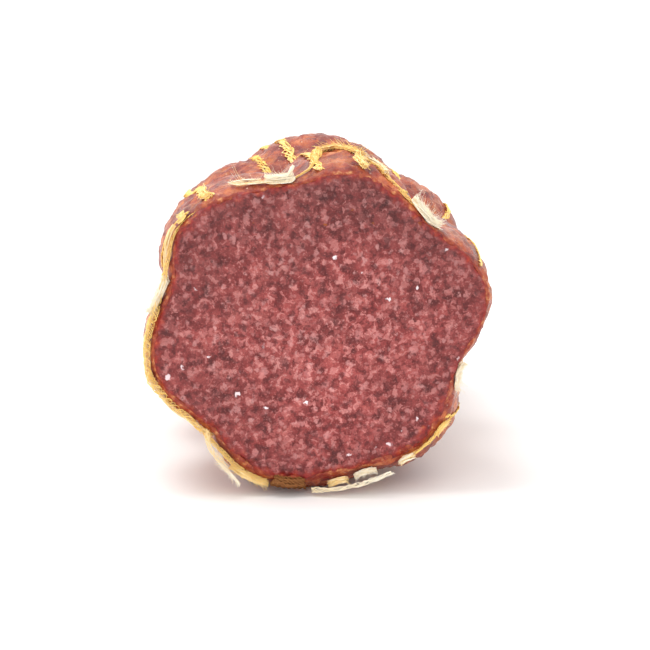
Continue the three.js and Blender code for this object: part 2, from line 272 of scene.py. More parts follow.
def meat_material():
    m = Nodes("meat", 0.42, Subsurface_Weight=0.04, Subsurface_Scale=0.0006,
              Specular_IOR_Level=0.4)
    m.shader.inputs["Subsurface Radius"].default_value = (1.0, 0.35, 0.25)
    warp = m.warped(1.9, 0.75, 3)
    # lean: dark and middling reds in patches with a fine grain
    patch = m.noise(3.4, 6, m.warped(2.2, 0.9), 0.66).outputs["Fac"]
    body = m.ramp(patch, [(0.34, "560E12"), (0.43, "77201F"), (0.50, "943A39"), (0.58, "AB524E"),
                          (0.68, "C27067")])
    cells = m.voronoi(1.25, warp)
    shade = m.node("SeparateColor", Color=cells.outputs["Color"])
    body = m.mix(0.42, body, m.ramp(shade.outputs[0], [(0.0, "5A1216"), (0.35, "86302F"),
                                                       (0.7, "AA5350"), (1.0, "CB8480")]))
    dark = m.voronoi(2.4, m.warped(1.4, 0.8, 3))
    pick = m.node("SeparateColor", Color=dark.outputs["Color"]).outputs[1]
    blot = m.maths("MULTIPLY", m.ramp(dark.outputs["Distance"], [(0.20, 1.0), (0.50, 0.0)]),
                   m.ramp(pick, [(0.58, 0.0), (0.72, 0.85)]))
    body = m.mix(blot, body, m.mix(shade.outputs[1], "4A0A0F", "6E1A1C"))
    # fat: pale rounded grains of three sizes with soft, uneven outlines
    for size, share, near, soft, strength in ((3.6, 0.62, 0.16, 0.30, 0.80),
                                              (2.5, 0.50, 0.20, 0.32, 0.88),
                                              (1.5, 0.50, 0.20, 0.42, 0.60)):
        fat = m.voronoi(size, m.warped(size * 0.6, size * 0.55, 4))
        colour = m.node("SeparateColor", Color=fat.outputs["Color"])
        grain = m.maths("MULTIPLY", m.ramp(fat.outputs["Distance"], [(near, 1.0), (soft, 0.0)]),
                        m.ramp(colour.outputs[2], [(share, 0.0), (share + 0.06, 1.0)]))
        tint = m.mix(colour.outputs[0], "BA7472", "DEACA8")
        body = m.mix(m.maths("MULTIPLY", grain, strength), body, tint)
    # uneven clusters of pale fat and of dark lean between the grains
    cluster = m.noise(1.7, 3, m.warped(1.2, 0.7, 3), 0.55, 0.4).outputs["Fac"]
    body = m.mix(m.ramp(cluster, [(0.57, 0.0), (0.60, 0.72)]), body,
                 m.mix(shade.outputs[0], "C27672", "E2A6A0"))
    body = m.mix(m.ramp(cluster, [(0.38, 0.65), (0.43, 0.0)]), body, "5E0E14")
    wide = m.noise(9.0, 2, m.warped(5.0, 2.5)).outputs["Fac"]
    body = m.mix(1.0, body, m.ramp(wide, [(0.38, 0.82), (0.60, 1.0)]), "MULTIPLY")
    body = m.mix(1.0, body, "FFE9E9", "MULTIPLY")
    fine = m.noise(0.42, 3, None, 0.65).outputs["Fac"]
    body = m.mix(1.0, body, m.ramp(fine, [(0.32, 0.66), (0.5, 1.0), (0.72, 1.0)]), "MULTIPLY")
    body = m.mix(m.ramp(fine, [(0.58, 0.0), (0.74, 0.5)]), body, "E09890")
    # white glints painted into the colour as painted highlights, dark pits painted as the shade of
    # tiny holes, and orange specks of the meat, most of them longer than wide
    specks_shade_and_glints = m.voronoi(3.0, m.warped(1.1, 0.9, 2))
    chance = m.node("SeparateColor", Color=specks_shade_and_glints.outputs["Color"])
    for socket, least, reach, colour in ((1, 0.86, 0.15, "35090D"), (2, 0.972, 0.17, "A4500F"),
                                         (0, 0.87, 0.19, "FFEFF2")):
        # painted highlight (white glints) and painted shade (dark pits) among the meat's orange
        # specks
        there = m.ramp(chance.outputs[socket], [(least, 0.0), (least + 0.005, 1.0)])
        close = m.ramp(specks_shade_and_glints.outputs["Distance"], [(0.6 * reach, 1.0), (reach, 0.0)])
        body = m.mix(m.maths("MULTIPLY", close, there), body, colour)
    # darker towards the rim; darker towards the top as painted shade, where the face gets less
    # light from the floor; saturated red at the rim itself
    middle = m.attribute("middle")
    tone = m.mix(m.ramp(middle, [(0.45, 0.0), (1.0, 0.34)]), body, "8A3A40", "MULTIPLY")
    # painted shade: the cut face's colour is multiplied darker with height
    height = m.maths("MULTIPLY", m.node("SeparateXYZ", Vector=m.coords).outputs["Z"], 12.8)
    tone = m.mix(1.0, tone, m.ramp(height, [(0.20, 1.0), (0.95, 0.72)]), "MULTIPLY")
    edge = m.attribute("rim_mm")
    jitter = m.maths("ADD", edge, m.maths("MULTIPLY", m.noise(1.8, 4).outputs["Fac"], 3.4))
    rim = m.ramp(m.maths("MULTIPLY", jitter, 0.25), [(0.42, 0.94), (0.80, 0.0)])
    tone = m.mix(rim, tone, m.ramp(m.noise(1.6, 3).outputs["Fac"],
                                   [(0.32, "5A0908"), (0.52, "8C1A14"), (0.64, "A83A22"),
                                    (0.78, "CF7F50")]))
    m.link(tone, m.shader.inputs["Base Color"])
    m.link(m.ramp(m.noise(1.3, 3).outputs["Fac"], [(0.3, 0.3), (0.7, 0.58)]),
           m.shader.inputs["Roughness"])
    m.bump(m.maths("SUBTRACT", 1.0, cells.outputs["Distance"]), 0.3, 0.6)
    m.bump(m.noise(0.45, 4).outputs["Fac"], 0.25, 0.5)
    return m.mat


def skin_material():
    m = Nodes("skin", 0.4, Subsurface_Weight=0.06, Subsurface_Scale=0.0008,
              Specular_IOR_Level=0.36, Coat_Weight=0.08, Coat_Roughness=0.2)
    m.shader.inputs["Subsurface Radius"].default_value = (1.0, 0.5, 0.3)
    warp = m.warped(5.0, 2.0, 3)
    base = m.ramp(m.noise(4.5, 5, warp, 0.62).outputs["Fac"],
                  [(0.34, "5A1C1A"), (0.43, "86332A"), (0.50, "A64F3A"), (0.58, "C0713F"),
                   (0.68, "DB9A5E")])
    grains = m.voronoi(2.4, m.warped(1.8, 0.8, 2))
    kind = m.node("SeparateColor", Color=grains.outputs["Color"]).outputs[0]
    spots = m.ramp(kind, [(0.0, "5E2022"), (0.3, "87382E"), (0.6, "AE6146"), (0.85, "CB8A64"),
                          (1.0, "E3B090")])
    tone = m.mix(0.40, base, spots)
    purple = m.ramp(m.noise(8.0, 3).outputs["Fac"], [(0.53, 0.0), (0.66, 0.7)])
    tone = m.mix(purple, tone, "6B3A3C")
    tan = m.ramp(m.noise(7.0, 3, m.warped(4.0, 2.0)).outputs["Fac"], [(0.55, 0.0), (0.7, 0.7)])
    tone = m.mix(tan, tone, "CF8F4C")
    red = m.ramp(m.noise(2.2, 3, m.warped(3.0, 1.5)).outputs["Fac"], [(0.58, 0.0), (0.68, 0.8)])
    tone = m.mix(red, tone, "7C1E18")
    tone = m.mix(1.0, tone, "F6D2BC", "MULTIPLY")
    # pale flecks: partly the skin's own pale specks, partly painted highlights standing for small
    # glints on the glossy skin
    fleck_and_glint = m.ramp(m.noise(0.8, 2).outputs["Fac"], [(0.68, 0.0), (0.78, 0.7)])
    tone = m.mix(fleck_and_glint, tone, "F0CDB6")
    edge = m.attribute("edge_mm")
    ragged = m.maths("ADD", edge, m.maths("MULTIPLY", m.noise(1.4, 3).outputs["Fac"], 0.9))
    tone = m.mix(m.ramp(ragged, [(0.70, 0.85), (1.0, 0.0)]), tone,
                 m.ramp(m.noise(1.3, 3).outputs["Fac"], [(0.38, "7E1C12"), (0.55, "A04428"),
                                                         (0.74, "D99A62")]))
    m.link(tone, m.shader.inputs["Base Color"])
    m.link(m.ramp(m.noise(3.0, 4).outputs["Fac"], [(0.3, 0.22), (0.7, 0.5)]),
           m.shader.inputs["Roughness"])
    m.bump(m.noise(1.6, 5, warp, 0.6).outputs["Fac"], 0.9, 0.7)
    m.bump(m.noise(0.4, 3).outputs["Fac"], 0.2, 0.5)
    return m.mat


def yarn_material(name, pale, mid, dark, frayed="FFFAEC"):
    m = Nodes(name, 0.9, Specular_IOR_Level=0.1)
    along = m.node("CombineXYZ", X=m.maths("MULTIPLY", m.attribute("along_mm"), 0.22),
                   Y=m.attribute("across"), Z=m.attribute("ply"))
    fibres = m.node("TexNoise", Vector=along.outputs[0], Scale=5.0, Detail=4.0,
                    Roughness=0.65).outputs["Fac"]
    tone = m.ramp(fibres, [(0.28, dark), (0.48, mid), (0.70, pale)])
    stain = m.ramp(m.noise(3.0, 3).outputs["Fac"], [(0.48, 0.0), (0.72, 0.6)])
    tone = m.mix(stain, tone, m.ramp(m.noise(1.2, 2).outputs["Fac"],
                                     [(0.35, dark), (0.65, mid)]))
    tone = m.mix(m.attribute("white"), tone, frayed)
    m.link(tone, m.shader.inputs["Base Color"])
    m.bump(fibres, 0.05, 0.4)
    return m.mat


MEAT, SKIN = meat_material(), skin_material()
GOLD = yarn_material("net_yarn", "FFEFB4", "FFDA7C", "EFAE50")
BARE = yarn_material("bare_yarn", "FFFBEA", "FFF0C4", "F2CE8A")
BROWN = yarn_material("brown_yarn", "B98750", "855331", "4E2C1A")

# --------------------------------------------------------------------------------------------
# Casing
# --------------------------------------------------------------------------------------------


def body_ys(step_mm):
    """Distances behind the cut, closer together at the cut and at each hoop."""
    ys = list(np.arange(0, 6, step_mm * 0.5))
    y = 6.0
    while y < DOME_START:
        ys.append(y)
        near = min(abs(y - FIRST_HOOP - k * HOOP_PITCH) for k in range(1, BODY_HOOPS + 1))
        y += step_mm * (0.45 if near < 3 else 1.0)
    return np.array(ys + [DOME_START])


def dome_rows(length, neck, count):
    lean = np.linspace(0, np.pi / 2, count + 1)[1:]
    share = np.cos(lean)
    share[-1] = 0
    return DOME_START + length * np.sin(lean), share, neck * (1 - share)


def skin_bumps(P, A, Y):
    """Wrinkles and lumps of the dried casing, flatter where it is pressed on the ground."""
    Q = P.copy()
    Q[..., 1] *= 0.55
    lumps = 0.45 * fbm(P, 5.5, 2, 3)
    wrinkles = np.abs(fbm(Q, 3.0, 3, 9))
    pebbles = 0.14 * noise(P, 1.5, 21)
    fade = np.clip(Y / 1.2, 0.25, 1) * np.clip((Y + 40 - DOME_END) / -1 / 6 + 6.6, 0.2, 1)
    return (lumps - 0.7 * wrinkles + 0.25 + pebbles) * fade


def casing():
    cols = 540
    angles = np.linspace(0, 360, cols, endpoint=False)
    ys = body_ys(0.8)
    dy, ds, dr = dome_rows(DOME_LENGTH, NECK_RADIUS, 46)
    neck_end = DOME_END + NECK_LENGTH
    ty = np.concatenate([np.linspace(DOME_END, neck_end, 12)[1:],
                         neck_end + TAIL_LENGTH * np.linspace(0, 1, 12)[1:]])
    tr = np.concatenate([np.full(11, NECK_RADIUS),
                         NECK_RADIUS + (TAIL_RADIUS - NECK_RADIUS)
                         * np.sin(np.linspace(0, np.pi / 2, 12)[1:]) ** 0.8])
    Y = np.concatenate([ys, dy, ty])
    S = np.concatenate([np.ones(len(ys)), ds, np.zeros(len(ty))])
    R = np.concatenate([np.zeros(len(ys)), dr, tr])
    out = layer(angles, Y, S, R, 0.0, skin_bumps)
    # pleats drawn in towards the neck, and a ragged end
    turn = np.arctan2(out[..., 2] - AXIS_HEIGHT, out[..., 0])
    pleat = np.clip((Y - DOME_START) / DOME_LENGTH, 0, 1)[:, None] ** 3
    depth = (0.55 * np.sin(17 * turn) + 0.4 * np.sin(29 * turn + 1.3)) * pleat
    depth = depth - 0.35 * pleat * np.abs(np.sin(11 * turn + 0.4 * Y[:, None]))
    out[..., 0] += depth * np.cos(turn)
    out[..., 2] += depth * np.sin(turn)
    rag = np.clip((Y - neck_end) / TAIL_LENGTH, 0, 1)[:, None]
    out[..., 1] -= rag * (1.2 + 1.2 * np.sin(5 * turn + 1) * np.sin(3 * turn))
    # the wall at the cut ends raggedly just behind the filling's face
    inner = layer(angles, np.array([1.8, 0.9, 0.0]), np.ones(3), np.zeros(3), 0.6)
    rim = np.stack([out[0, :, 0], 0 * out[0, :, 0], out[0, :, 2]], -1)
    wave = 0.35 + 0.30 * noise(rim, 3.0, 5) + 0.18 * noise(rim, 0.9, 6)
    inner[2, :, 1] += wave
    out[:5, :, 1] += wave * np.array([1, 0.9, 0.7, 0.4, 0.15])[:, None]
    P = np.concatenate([inner, out])
    rows = len(P)
    verts = P.reshape(-1, 3)
    faces = grid_faces(rows, cols)
    tail = len(verts)
    verts = np.vstack([verts, [[0, neck_end + TAIL_LENGTH * 0.55, AXIS_HEIGHT]]])
    last = (rows - 1) * cols
    faces += [[last + j, tail, last + (j + 1) % cols] for j in range(cols)]
    edge = np.concatenate([np.zeros((3, cols)), np.repeat(Y[:, None], cols, 1)]).ravel()
    edge = np.append(edge, 99.0)
    return verts, faces, {"edge_mm": np.minimum(edge, 50)}


cas_verts, cas_faces, cas_attr = casing()
# The row's place comes from the casing's box: its widest points are the smooth skin's.
plain_y = np.linspace(0, DOME_START, 400)
plain = layer(np.linspace(0, 360, 1440, endpoint=False), plain_y, np.ones(400), np.zeros(400), 0)
low, high = (np.array(corner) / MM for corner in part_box("casing"))
ROW_SHIFT[:] = ((low[0] + high[0]) / 2 - (plain[..., 0].min() + plain[..., 0].max()) / 2,
                low[1], low[2])

casing_piece = make_mesh("sausage_casing", cas_verts, cas_faces, SKIN, cas_attr)
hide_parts("casing")

# --------------------------------------------------------------------------------------------
# Filling
# --------------------------------------------------------------------------------------------


def filling():
    cols, rings = 480, 130
    angles = np.linspace(0, 360, cols, endpoint=False)
    rim = skin_radius(angles, 0 * angles) - 0.12
    edge = np.stack([rim * np.cos(np.radians(angles)), 0 * rim, rim * np.sin(np.radians(angles))],
                    -1)
    rim = rim + 0.22 * noise(edge, 2.4, 61) + 0.18 * noise(edge, 0.9, 62)
    turn = np.radians(angles)
    share = (np.arange(1, rings + 1) / rings)[:, None]
    radius = rim[None, :] * share
    P = np.stack([radius * np.cos(turn), 0 * radius, AXIS_HEIGHT + radius * np.sin(turn)], -1)
    to_rim = rim[None, :] - radius
    relief = 0.22 * fbm(P, 2.2, 3, 31) + 0.10 * noise(P, 0.9, 47) + 0.35 * noise(P, 14.0, 51)
    relief = relief * np.clip(to_rim / 1.5, 0.25, 1)
    # the edge is drawn in a little where the meat dried, and crumbles here and there
    crumble = np.clip(1 - to_rim / 1.3, 0, 1) ** 2 * (0.35 + 0.35 * noise(P, 2.0, 77))
    P[..., 1] = relief + crumble
    ys = np.array([1.0, 3.0, 8.0])
    side = layer(angles, ys, np.ones(3), np.zeros(3), 0.45)
    body = layer(angles, np.linspace(16, DOME_START, 14), np.ones(14), np.zeros(14), 1.0)
    dy, ds, dr = dome_rows(DOME_LENGTH - 4.5, 0.0, 10)
    end = layer(angles, dy[:-1], ds[:-1], dr[:-1], 1.0)
    grid = np.concatenate([P, side, body, end])
    verts = grid.reshape(-1, 3)
    faces = grid_faces(len(grid), cols)
    centre, tip = len(verts), len(verts) + 1
    verts = np.vstack([verts, [[0, 0.05, AXIS_HEIGHT], [0, dy[-1], AXIS_HEIGHT]]])
    faces += [[centre, j, (j + 1) % cols] for j in range(cols)]
    last = (len(grid) - 1) * cols
    faces += [[last + j, tip, last + (j + 1) % cols] for j in range(cols)]
    rim_mm = np.concatenate([to_rim, np.zeros((len(grid) - rings, cols))]).ravel()
    middle = np.concatenate([np.repeat(share, cols, 1), np.ones((len(grid) - rings, cols))])
    attr = {"rim_mm": np.append(rim_mm, [36, 0]), "middle": np.append(middle.ravel(), [0, 1])}
    return verts, faces, attr


meat_verts, meat_faces, meat_attr = filling()
meat_piece = make_mesh("ground_meat", meat_verts, meat_faces, MEAT, meat_attr)
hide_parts("filling")

# --------------------------------------------------------------------------------------------
# Yarns: flat ribbons of fine threads, twisted ropes, and the tufts they fray into
# --------------------------------------------------------------------------------------------

AXIS = np.array([0, 0, AXIS_HEIGHT])


def resample(points, step, closed=False):
    """Points along a smooth curve through the given ones, at even steps."""
    p = np.asarray(points, float)
    if closed:
        p = np.vstack([p[-1], p, p[0], p[1]])
    else:
        p = np.vstack([2 * p[0] - p[1], p, 2 * p[-1] - p[-2]])
    out = []
    for a, b, c, d in zip(p, p[1:], p[2:], p[3:]):
        t = np.linspace(0, 1, 12, endpoint=False)[:, None]
        out.append(0.5 * (2 * b + (c - a) * t + (2 * a - 5 * b + 4 * c - d) * t ** 2
                          + (3 * b - a - 3 * c + d) * t ** 3))
    out = np.vstack(out + [p[-2][None]])
    length = np.concatenate([[0], np.cumsum(np.linalg.norm(np.diff(out, axis=0), axis=1))])
    n = max(3, int(round(length[-1] / step)))
    s = np.linspace(0, length[-1], n + 1)
    return np.stack([np.interp(s, length, out[:, k]) for k in range(3)], -1), s


def frames(path, closed=False):
    if closed:
        tangent = np.roll(path, -1, 0) - np.roll(path, 1, 0)
    else:
        tangent = np.gradient(path, axis=0)
    tangent /= np.linalg.norm(tangent, axis=1)[:, None]
    out = path - AXIS
    out[:, 1] = 0
    out -= tangent * (out * tangent).sum(1)[:, None]
    out /= np.linalg.norm(out, axis=1)[:, None]
    return tangent, out, np.cross(out, tangent)


def tube(path, radii, side, out, sides=6, flat=1.0, closed=False):
    """Vertices and faces of a tube round a path, capped unless it is closed."""
    turn = np.linspace(0, 2 * np.pi, sides, endpoint=False)
    r = np.asarray(radii)[:, None, None]
    ring = (side[:, None, :] * np.cos(turn)[None, :, None]
            + out[:, None, :] * np.sin(turn)[None, :, None] * flat)
    verts = (path[:, None, :] + r * ring).reshape(-1, 3)
    rows = len(path)
    i, j = np.meshgrid(np.arange(rows if closed else rows - 1), np.arange(sides), indexing="ij")
    a, b = i * sides + j, i * sides + (j + 1) % sides
    c = ((i + 1) % rows) * sides
    faces = np.stack([a, b, c + (j + 1) % sides, c + j], -1).reshape(-1, 4).tolist()
    if not closed:
        faces += [list(range(sides))[::-1], [(rows - 1) * sides + k for k in range(sides)]]
    return verts, faces


class Bundle:
    """Collects tubes into one piece with the yarn's attributes."""

    def __init__(self):
        self.verts, self.faces, self.along, self.across = [], [], [], []
        self.ply, self.white, self.count = [], [], 0

    def add(self, path, radii, side, out, sides=6, flat=1.0, closed=False, ply=0.0, white=0.0,
            along=None):
        verts, faces = tube(path, radii, side, out, sides, flat, closed)
        self.verts.append(verts)
        self.faces += [[k + self.count for k in face] for face in faces]
        self.count += len(verts)
        rows = len(path)
        if along is None:
            step = np.linalg.norm(np.diff(path, axis=0), axis=1)
            along = np.concatenate([[0], np.cumsum(step)])
        self.along.append(np.repeat(along, sides))
        self.across.append(np.tile(np.sin(np.linspace(0, 2 * np.pi, sides, endpoint=False)), rows))
        self.ply.append(np.full(rows * sides, ply))
        self.white.append(np.repeat(np.broadcast_to(white, rows), sides))

    def piece(self, name, mat, slot, node):
        attr = {"along_mm": np.concatenate(self.along), "across": np.concatenate(self.across),
                "ply": np.concatenate(self.ply), "white": np.concatenate(self.white)}
        made = make_mesh(name, np.vstack(self.verts), self.faces, mat, attr)
        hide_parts(node)


def line(values):
    return np.stack([values, 0 * values, 0 * values], -1)


def rope(bundle, points, width, plies=3, pitch=6.0, step=0.3, white=None):
    """A yarn of a few round plies twisted tightly. white is a function of the distance."""
    path, s = resample(points, step)
    tangent, out, side = frames(path)
    seed = int(rng.integers(1000))
    radius = 0.29 * width if plies == 2 else 0.26 * width
    size = 1 + 0.12 * noise(line(s), 2.5, seed)
    for k in range(plies):
        phase = 2 * np.pi * (s / pitch + k / plies) + 0.4 * noise(line(s), 4.0, seed + 1)
        ply = path + (side * np.cos(phase)[:, None] + out * np.sin(phase)[:, None]) * (
            (width / 2 - radius) * size)[:, None]
        for j in range(4):  # each ply is four thinner threads
            turn = 2 * np.pi * (s / (0.45 * pitch) + j / 4)
            thread = ply + (side * np.cos(turn)[:, None] + out * np.sin(turn)[:, None]) * (
                0.45 * radius * size)[:, None]
            tone = 0 * s if white is None else white(s, s[-1])
            bundle.add(thread, 0.62 * radius * size, side, out, 5, 1.0, False,
                       7.3 * k + 2.1 * j + seed, tone, s)


def ribbon(bundle, points, width, thickness=0.6, threads=14, wave=4.0, step=0.5, closed=False,
           white=0.0, thin=None, loose=0.16):
    """A flat yarn of fine threads that weave across each other. thin(s, total) scales it."""
    path, s = resample(points, step, closed)
    if closed:
        path, s = path[:-1], s[:-1]
    tangent, out, side = frames(path, closed)
    seed = int(rng.integers(1000))
    total = s[-1] + (step if closed else 0)
    size = 1 + 0.22 * noise(line(s), 4.0, seed)
    if thin is not None:
        size = size * thin(s, total)
    drift = 0.25 * noise(line(s), 7.0, seed + 1)
    if closed:
        drift = drift * np.sin(np.pi * s / total)
    for k in range(threads):
        base = (k + 0.5) / threads - 0.5
        waves = max(1, round(total / (wave * rng.uniform(0.8, 1.25))))
        phase = 2 * np.pi * (waves * s / total + rng.random())
        wander = loose * noise(line(s + 31 * k), 2.2, seed + 2 + k)
        if closed:
            wander = wander * np.sin(np.pi * s / total)
        across = (0.66 * base + 0.2 * np.sin(phase) + wander) * width * size + drift
        rise = 0.36 * thickness * np.cos(phase) * size
        radius = width / threads * rng.uniform(0.55, 0.85)
        radii = radius * (0.35 + 0.65 * size) * (1 + 0.2 * noise(line(s), 1.4, seed + 50 + k))
        tone = np.clip(white + 0.12 * rng.normal(), 0, 1) if np.isscalar(white) else white(s, total)
        bundle.add(path + side * across[:, None] + out * rise[:, None], radii, side, out, 5, 0.7,
                   closed, 3.7 * k + seed, tone, s)


def tuft(bundle, points, width, height, count=60, white=(0.5, 1.0), wild=0.3, radius=0.08,
         reach=(0.35, 0.8)):
    """Frayed fibres that lie along points and spread out of line at their ends."""
    path, s = resample(points, 0.3)
    tangent, out, side = frames(path)
    for _ in range(count):
        length = s[-1] * rng.uniform(*reach)
        first = rng.uniform(0, max(s[-1] - length, 0.01))
        if rng.random() < 0.5:
            first = s[-1] - length if rng.random() < 0.5 else 0.0
        t = np.linspace(0, 1, 10)
        at = first + t * length
        place, sd, up, tg = (np.stack([np.interp(at, s, v[:, k]) for k in range(3)], -1)
                             for v in (path, side, out, tangent))
        off = np.clip(rng.normal(0, 0.3), -0.7, 0.7) * width * 0.6
        bow = rng.normal(0, wild, 2) * length
        curl = 0.12 * width * noise(line(at + 17 * rng.random()), 1.1, int(rng.integers(99)))
        lean = (2 * t - 1) ** 2 * np.sign(2 * t - 1)
        pos = (place + sd * (off * np.sin(0.35 + 2.4 * t) + bow[0] * lean * 0.5 + curl)[:, None]
               + up * (rng.uniform(0, height) + np.abs(bow[1]) * lean ** 2 * 0.45)[:, None])
        r = radius * rng.uniform(0.6, 1.5) * (0.35 + np.sin(np.pi * np.clip(t, 0.08, 0.92)))
        bundle.add(pos, r, sd, up, 4, 0.8, False, rng.uniform(0, 60), rng.uniform(*white), at)


def hairs(bundle, points, width, every=1.6, length=1.6, white=(0.0, 0.5)):
    """Single hairs that stand off a yarn."""
    path, s = resample(points, 0.5)
    tangent, out, side = frames(path)
    for i in rng.integers(1, len(path) - 2, max(1, int(s[-1] / every))):
        heading = (tangent[i] * rng.uniform(-1, 1) + out[i] * rng.uniform(0.1, 0.6)
                   + side[i] * rng.choice([-1, 1]) * rng.uniform(0.2, 1))
        heading /= np.linalg.norm(heading)
        bend = side[i] * rng.normal(0, 0.4) + out[i] * rng.normal(0, 0.2)
        t = np.linspace(0, 1, 6)[:, None]
        hair = path[i] + side[i] * rng.uniform(-0.4, 0.4) * width + length * rng.uniform(
            0.5, 1.2) * (heading * t + bend * t ** 2)
        bundle.add(hair, 0.035 * np.linspace(1, 0.4, 6), np.repeat(side[i][None], 6, 0),
                   np.repeat(out[i][None], 6, 0), 3, 1.0, False, rng.uniform(0, 60),
                   rng.uniform(*white))


def over_skin(angle, y, height):
    angle, y = np.broadcast_arrays(np.asarray(angle, float), np.asarray(y, float))
    turn = np.radians(angle + TWIST * y)
    radius = skin_radius(angle, y) + height
    z = np.maximum(AXIS_HEIGHT + radius * np.sin(turn), height)
    return np.stack([radius * np.cos(turn), y, z], -1)


def on_skin(route, height=0.35):
    """Points over the skin through (section angle, distance behind the cut)."""
    fine, _ = resample(np.column_stack([route, np.zeros(len(route))]), 0.8)
    return over_skin(fine[:, 0], fine[:, 1], height)


def lengthwise(angle, height, start=0.0, neck=True):
    ys = body_ys(1.6)
    ys = ys[ys >= start]
    points = over_skin(angle, ys, height)
    lean = np.linspace(0, np.pi / 2, 14)[1:-1]
    y = DOME_START + DOME_LENGTH * np.sin(lean)
    share = np.cos(lean)
    radius = skin_radius(angle + 0 * y, y) * share + NECK_RADIUS * (1 - share)
    turn = np.radians(angle + TWIST * y)
    radius = radius + height * np.cos(lean)
    dome = np.stack([radius * np.cos(turn), y + height * np.sin(lean),
                     AXIS_HEIGHT + radius * np.sin(turn)], -1)
    points = np.vstack([points, dome if neck else dome[:-1]])
    if neck:
        y = DOME_END + NECK_LENGTH * np.array([0.15, 0.6, 1.0])
        turn = np.radians(angle + TWIST * y)
        radius = NECK_RADIUS + height + 0 * y
        end = np.stack([radius * np.cos(turn), y, AXIS_HEIGHT + radius * np.sin(turn)], -1)
        points = np.vstack([points, end])
    return points


# Where each cord's frayed end lies along the rim: section angle and distance behind the cut.
CORD_ENDS = {
    "right": ([(-15.5, 1.0), (-19, 0.8), (-23, 1.0), (-28, 1.8)], 1.6, 0.8),
    "upper_right": ([(56, 1.0), (51, 0.8), (46, 0.9), (40, 1.6)], 2.8, 1.6),
    "upper_left": ([(101.5, 0.7), (105, 0.6), (109, 0.8), (113, 1.2)], 2.6, 1.8),
    "left": ([(162, 1.6), (167, 1.2), (172, 1.6), (176, 2.4)], 2.6, 1.3),
    "lower_right": ([(280, 1.0), (284, 0.8), (289, 1.2)], 2.0, 1.0)}
LOOSE_CORD = np.array([(-21.2, -1.4, 6.4), (-23.4, -2.0, 9.2), (-25.5, -1.9, 12.2),
                       (-25.8, -0.6, 14.4)])


def whiten_at_start(s, total):
    return np.clip(1 - (s - 0.5) / 4.5, 0, 1) * 0.8


for name, angle in GROOVES.items():
    b = Bundle()
    if name == "lower_left":
        back = lengthwise(angle, 0.6, 2.5)
        ribbon(b, back, 2.2, 1.0, 12)
        pulled = np.vstack([LOOSE_CORD, back[:3]])
        ribbon(b, pulled, 1.5, 1.2, 16, 5.0, 0.3, loose=0.3,
               white=lambda s, total: np.clip(0.9 - s / 20, 0.0, 1) * rng.uniform(0.5, 1))
        tip = LOOSE_CORD[0]
        tuft(b, [tip + (2.6, 0.3, -3.0), tip, LOOSE_CORD[1]], 1.8, 0.5, 80, (0.6, 1.0), 0.3, 0.06)
        hairs(b, LOOSE_CORD, 2.0, 0.4, 1.6, (0.5, 1))
    else:
        back = lengthwise(angle, 0.5, 1.0)
        ribbon(b, back, 2.3, 1.0, 12, white=whiten_at_start)
        route, width, height = CORD_ENDS[name]
        tuft(b, on_skin(route, 0.3), width, height, 200, (0.55, 1.0), 0.3, 0.065, (0.25, 0.7))
        tuft(b, on_skin(route, 0.5), width * 1.4, height, 50, (0.7, 1.0), 0.6, 0.045)
    if name == "upper_left":  # part of it stands up, and wisps run on along the rim
        foot = over_skin(104.5, 0.7, 0.4)
        tuft(b, [foot, foot + (0.5, -0.1, 1.8), foot + (1.3, 0.1, 3.4)], 1.5, 0.5, 50,
             (0.7, 1.0), 0.12, 0.1)
        tuft(b, on_skin([(108, 1.0), (114, 1.4), (120, 2.2), (124, 3.4)], 0.3), 1.2, 0.5, 24,
             (0.1, 0.9), 0.5, 0.055)
        tuft(b, on_skin([(114, 3.0), (119, 4.6), (124, 5.0)], 0.3), 1.0, 0.4, 18, (0.3, 1.0), 0.3)
    if name == "lower_right":
        tuft(b, on_skin([(270, 1.2), (274, 0.8), (278, 1.2)], 0.4), 2.0, 1.3, 60, (0.0, 0.5),
             0.25, 0.1)
    hairs(b, back, 2.2, 2.5)
    b.piece("cord_" + name, GOLD, "yarn", "groove_cord_" + name)

for name, angle in STRANDS.items():
    b = Bundle()
    back = lengthwise(angle, 0.32, 1.2, neck=False)
    ribbon(b, back, 2.3 if name in ("top", "upper_left") else 1.8, 0.5, 10)
    hairs(b, back, 1.5, 2.5)
    if name == "upper_left":
        tuft(b, on_skin([(131, 10), (132, 7), (133, 4), (131.5, 2)], 0.3), 2.4, 0.6, 60,
             (0.0, 0.3), 0.2)
        tuft(b, on_skin([(143, 3.5), (142, 1.6), (145, 1.0)], 0.3), 3.0, 0.8, 60, (0.0, 0.25),
             0.2, 0.1)
    if name == "lower_right":
        ribbon(b, on_skin([(321, 4), (318, 1.4), (312, 1.6), (305, 1.4), (299, 2.0)], 0.35), 1.9,
               0.6, 10, step=0.35)
        tuft(b, on_skin([(321, 3), (318, 1.6), (314, 1.4)], 0.3), 2.6, 0.8, 60, (0.0, 0.3), 0.2,
             0.1)
        tuft(b, on_skin([(304, 1.2), (300, 0.8), (297, 1.4)], 0.3), 2.4, 1.2, 60, (0.2, 0.9),
             0.2, 0.1)
    b.piece("strand_" + name, GOLD, "yarn", "lobe_strand_" + name)

CROSSINGS = [(a, 0.9, 9.0) for a in GROOVES.values()] + [(a, 0.4, 6.0) for a in STRANDS.values()]


def hoop_points(angles, ys, height):
    lift = np.zeros_like(angles, float)
    for centre, rise, reach in CROSSINGS:
        away = (angles - centre + 180) % 360 - 180
        lift = np.maximum(lift, np.where(np.abs(away) < reach,
                                         rise * np.cos(np.pi / 2 * away / reach), 0))
    return over_skin(angles, ys, height + lift)


for k in (1, 2):
    b = Bundle()
    angles = np.arange(0, 360, 3.0)
    points = hoop_points(angles, FIRST_HOOP + k * HOOP_PITCH + 0 * angles, 0.5)
    ribbon(b, points, 2.4, 0.8, 12, closed=True)
    hairs(b, points, 2.0, 2.5)
    b.piece("hoop_body_%d" % k, GOLD, "yarn", "hoop_%d" % (k + 1))

